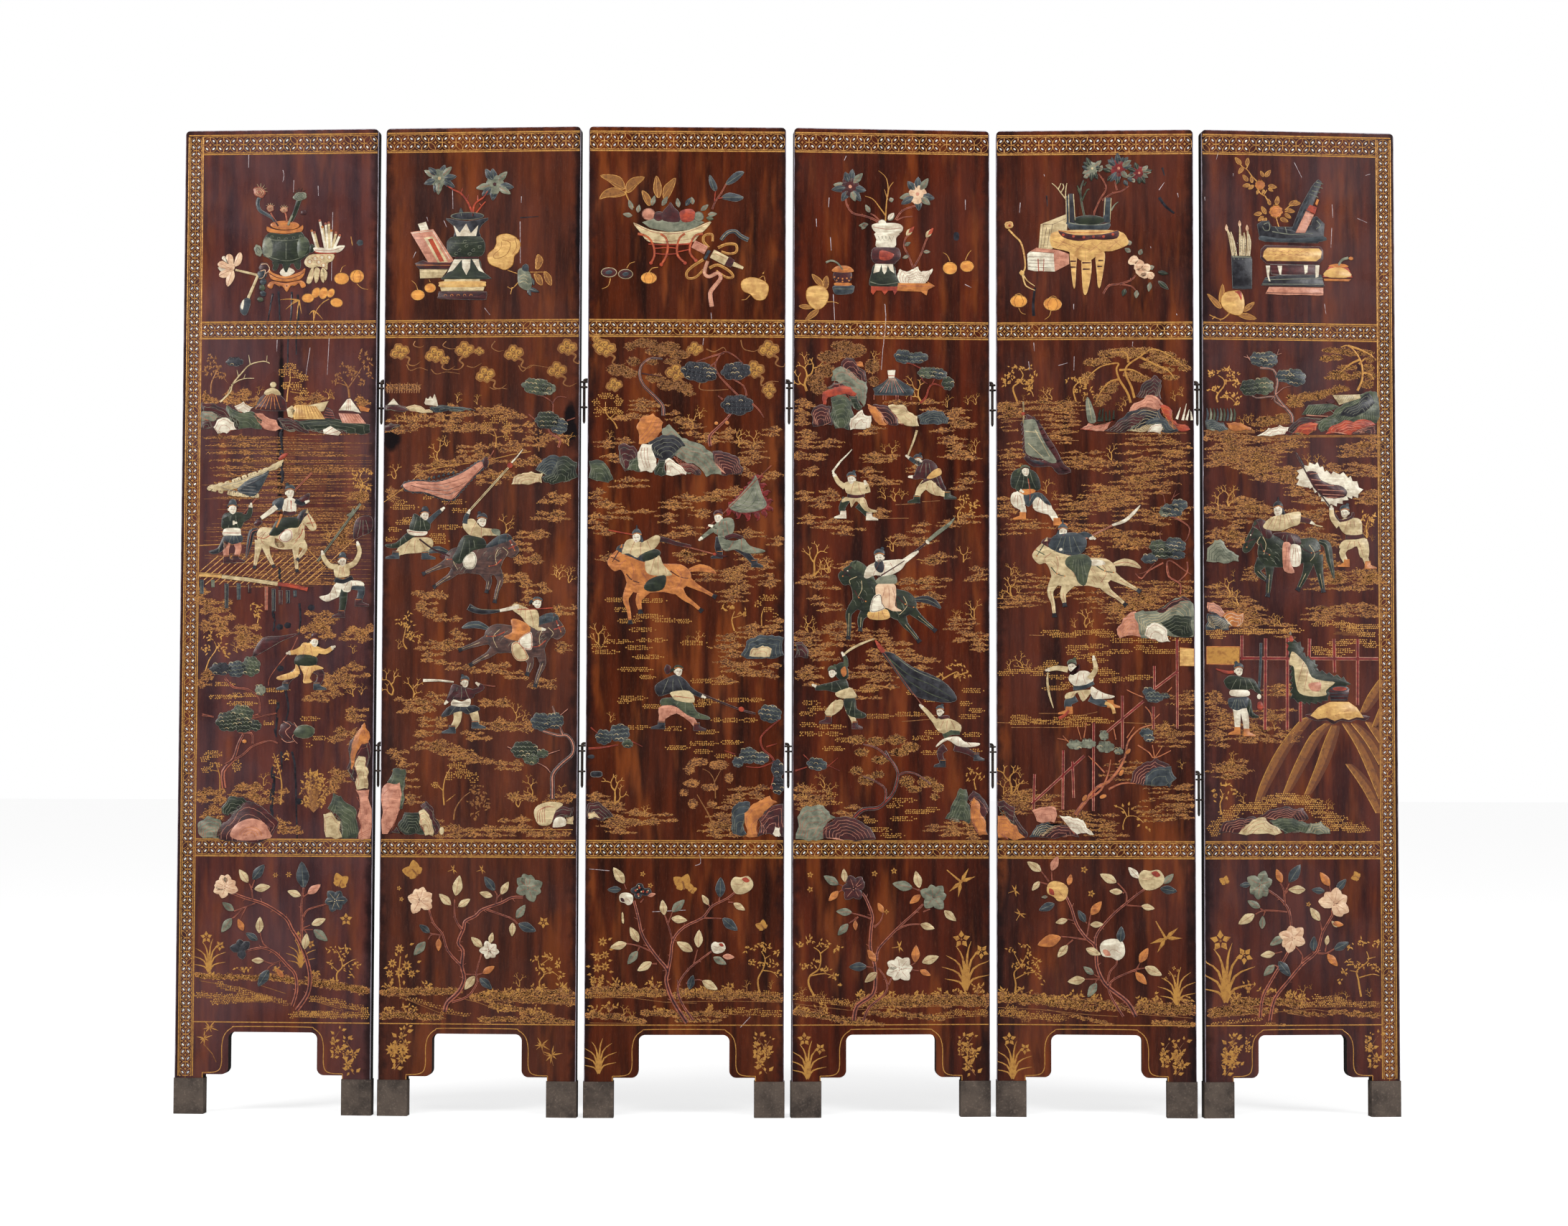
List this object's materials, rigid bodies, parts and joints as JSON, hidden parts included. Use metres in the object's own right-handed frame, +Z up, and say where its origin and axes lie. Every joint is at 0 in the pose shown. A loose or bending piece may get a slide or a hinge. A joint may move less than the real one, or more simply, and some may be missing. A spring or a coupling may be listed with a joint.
{
  "type": "folding lacquer screen",
  "caption": "Folding lacquer screen on bracket feet, with gilt drawing and raised stone inlays, leaves joined by ring eyes and loose drop pins.",
  "frame": {"origin": "middle of the floor area that the screen's bounding box covers, at floor level", "axes": "+X along the screen to the viewer's right, -Y towards the viewer of the decorated front, +Z up"},
  "size_m": [2.266, 0.0797, 1.83],
  "materials": {
    "timber": "plain softwood under the lacquer",
    "front_lacquer": "glossy red-brown lacquer with gilt drawing, worn to black at the edges",
    "back_lacquer": "satin black-brown lacquer",
    "inlay_stone": "carved and polished soapstone and jade in many colours",
    "foot_metal": "dark patinated sheet brass",
    "hinge_iron": "dark wrought iron"
  },
  "bodies": {
    "panel_1": {"panel_1_stiles": "timber", "panel_1_planks": "timber", "panel_1_rails": "timber", "panel_1_front_lacquer": "front_lacquer", "panel_1_back_lacquer": "back_lacquer", "panel_1_inlays": "inlay_stone", "panel_1_foot_caps": "foot_metal", "panel_1_eyes": "hinge_iron"},
    "panel_2": {"panel_2_stiles": "timber", "panel_2_planks": "timber", "panel_2_rails": "timber", "panel_2_front_lacquer": "front_lacquer", "panel_2_back_lacquer": "back_lacquer", "panel_2_inlays": "inlay_stone", "panel_2_foot_caps": "foot_metal", "panel_2_eyes": "hinge_iron"},
    "panel_3": {"panel_3_stiles": "timber", "panel_3_planks": "timber", "panel_3_rails": "timber", "panel_3_front_lacquer": "front_lacquer", "panel_3_back_lacquer": "back_lacquer", "panel_3_inlays": "inlay_stone", "panel_3_foot_caps": "foot_metal", "panel_3_eyes": "hinge_iron"},
    "panel_4": {"panel_4_stiles": "timber", "panel_4_planks": "timber", "panel_4_rails": "timber", "panel_4_front_lacquer": "front_lacquer", "panel_4_back_lacquer": "back_lacquer", "panel_4_inlays": "inlay_stone", "panel_4_foot_caps": "foot_metal", "panel_4_eyes": "hinge_iron"},
    "panel_5": {"panel_5_stiles": "timber", "panel_5_planks": "timber", "panel_5_rails": "timber", "panel_5_front_lacquer": "front_lacquer", "panel_5_back_lacquer": "back_lacquer", "panel_5_inlays": "inlay_stone", "panel_5_foot_caps": "foot_metal", "panel_5_eyes": "hinge_iron"},
    "panel_6": {"panel_6_stiles": "timber", "panel_6_planks": "timber", "panel_6_rails": "timber", "panel_6_front_lacquer": "front_lacquer", "panel_6_back_lacquer": "back_lacquer", "panel_6_inlays": "inlay_stone", "panel_6_foot_caps": "foot_metal", "panel_6_eyes": "hinge_iron"},
    "pin_12_upper": {"pin_12_upper": "hinge_iron"},
    "pin_12_lower": {"pin_12_lower": "hinge_iron"},
    "pin_23_upper": {"pin_23_upper": "hinge_iron"},
    "pin_23_lower": {"pin_23_lower": "hinge_iron"},
    "pin_34_upper": {"pin_34_upper": "hinge_iron"},
    "pin_34_lower": {"pin_34_lower": "hinge_iron"},
    "pin_45_upper": {"pin_45_upper": "hinge_iron"},
    "pin_45_lower": {"pin_45_lower": "hinge_iron"},
    "pin_56_upper": {"pin_56_upper": "hinge_iron"},
    "pin_56_lower": {"pin_56_lower": "hinge_iron"}
  },
  "joints": [
    {"name": "leaf_hinge_12", "type": "hinge", "parent": "panel_2", "child": "panel_1", "pos_m": [-0.75865, 0.00016, 0.68], "axis": [0, 0, 1], "range_deg": [-43, 43]},
    {"name": "leaf_hinge_23", "type": "hinge", "parent": "panel_3", "child": "panel_2", "pos_m": [-0.37957, -0.02635, 0.68], "axis": [0, 0, 1], "range_deg": [-38, 48]},
    {"name": "leaf_hinge_34", "type": "hinge", "parent": "panel_3", "child": "panel_4", "pos_m": [0.00037, -0.01972, 0.68], "axis": [0, 0, 1], "range_deg": [-46, 40]},
    {"name": "leaf_hinge_45", "type": "hinge", "parent": "panel_4", "child": "panel_5", "pos_m": [0.37944, 0.00679, 0.68], "axis": [0, 0, 1], "range_deg": [-36, 50]},
    {"name": "leaf_hinge_56", "type": "hinge", "parent": "panel_5", "child": "panel_6", "pos_m": [0.75892, -0.0131, 0.68], "axis": [0, 0, 1], "range_deg": [-51, 35]},
    {"name": "pin_12_upper_lift", "type": "slide", "parent": "panel_2", "child": "pin_12_upper", "axis": [0, 0, 1], "range_m": [0, 0.075]},
    {"name": "pin_12_lower_lift", "type": "slide", "parent": "panel_2", "child": "pin_12_lower", "axis": [0, 0, 1], "range_m": [0, 0.075]},
    {"name": "pin_23_upper_lift", "type": "slide", "parent": "panel_3", "child": "pin_23_upper", "axis": [0, 0, 1], "range_m": [0, 0.075]},
    {"name": "pin_23_lower_lift", "type": "slide", "parent": "panel_3", "child": "pin_23_lower", "axis": [0, 0, 1], "range_m": [0, 0.075]},
    {"name": "pin_34_upper_lift", "type": "slide", "parent": "panel_3", "child": "pin_34_upper", "axis": [0, 0, 1], "range_m": [0, 0.075]},
    {"name": "pin_34_lower_lift", "type": "slide", "parent": "panel_3", "child": "pin_34_lower", "axis": [0, 0, 1], "range_m": [0, 0.075]},
    {"name": "pin_45_upper_lift", "type": "slide", "parent": "panel_4", "child": "pin_45_upper", "axis": [0, 0, 1], "range_m": [0, 0.075]},
    {"name": "pin_45_lower_lift", "type": "slide", "parent": "panel_4", "child": "pin_45_lower", "axis": [0, 0, 1], "range_m": [0, 0.075]},
    {"name": "pin_56_upper_lift", "type": "slide", "parent": "panel_5", "child": "pin_56_upper", "axis": [0, 0, 1], "range_m": [0, 0.075]},
    {"name": "pin_56_lower_lift", "type": "slide", "parent": "panel_5", "child": "pin_56_lower", "axis": [0, 0, 1], "range_m": [0, 0.075]}
  ]
}
